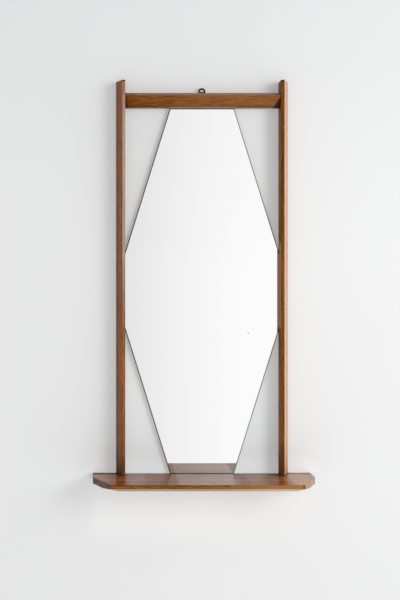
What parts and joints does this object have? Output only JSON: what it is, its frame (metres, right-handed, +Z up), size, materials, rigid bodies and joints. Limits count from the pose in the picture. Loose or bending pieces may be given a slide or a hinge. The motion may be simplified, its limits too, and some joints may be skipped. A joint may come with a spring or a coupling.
{
  "type": "mirror with shelf",
  "caption": "Tall wall mirror: octagonal frameless glass let into wooden uprights, a top rail and a shelf with cut corners, hung by a swinging ring behind the rail.",
  "frame": {"origin": "in the back plane that lies against the wall, on the mirror plane of symmetry, level with the top inside of the hanging ring", "axes": "+X to the viewer's right, +Y into the wall, +Z up; the viewer stands at -Y"},
  "size_m": [0.561, 0.147, 1.0223],
  "materials": {
    "wood": "satin varnished teak, grain along each member",
    "mirror": "back-silvered float glass with ground edges",
    "board": "raw plywood",
    "dowel": "raw beech",
    "screw": "dull plated steel",
    "clip": "dull rolled steel",
    "hanger": "dark burnished steel"
  },
  "bodies": {
    "frame": {"left_upright": "wood", "right_upright": "wood", "top_rail": "wood", "shelf": "wood", "mirror_glass": "mirror", "backing_board": "board", "left_rail_dowels": "dowel", "right_rail_dowels": "dowel", "left_foot_dowel": "dowel", "right_foot_dowel": "dowel", "left_foot_screw": "screw", "right_foot_screw": "screw", "left_clips": "clip", "right_clips": "clip", "top_clips": "clip", "clip_screws": "screw", "hanger_plate": "hanger", "hanger_screws": "screw"},
    "ring": {"hanger_ring": "hanger"}
  },
  "joints": [
    {"name": "ring_swing", "type": "hinge", "parent": "frame", "child": "ring", "pos_m": [0, -0.00515, -0.0092], "axis": [1, 0, 0], "range_deg": [-115, 96]}
  ]
}
